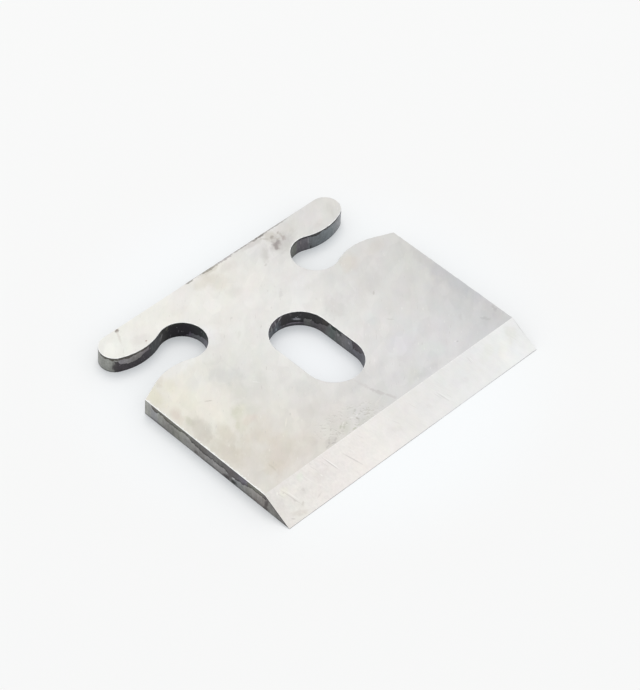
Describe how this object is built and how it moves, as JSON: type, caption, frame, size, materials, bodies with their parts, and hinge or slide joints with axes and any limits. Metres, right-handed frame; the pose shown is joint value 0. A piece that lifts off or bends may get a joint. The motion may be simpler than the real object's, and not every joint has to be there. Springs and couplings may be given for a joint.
{
  "type": "spokeshave blade",
  "caption": "Flat steel spokeshave blade with one ground bevel, a slot for the cap screw and a keyhole notch in each side for the adjusting nuts.",
  "frame": {"origin": "on the flat back, in the middle of the blade's width and length", "axes": "+X along the cutting edge, +Y from the cutting edge to the eared back edge, +Z from the flat back up to the bevelled face"},
  "size_m": [0.054, 0.0452, 0.0032],
  "materials": {
    "ground_steel": "surface-ground faces and bevel, dark scale left on the edges between them"
  },
  "bodies": {
    "root": {"blade": "ground_steel"}
  },
  "joints": []
}
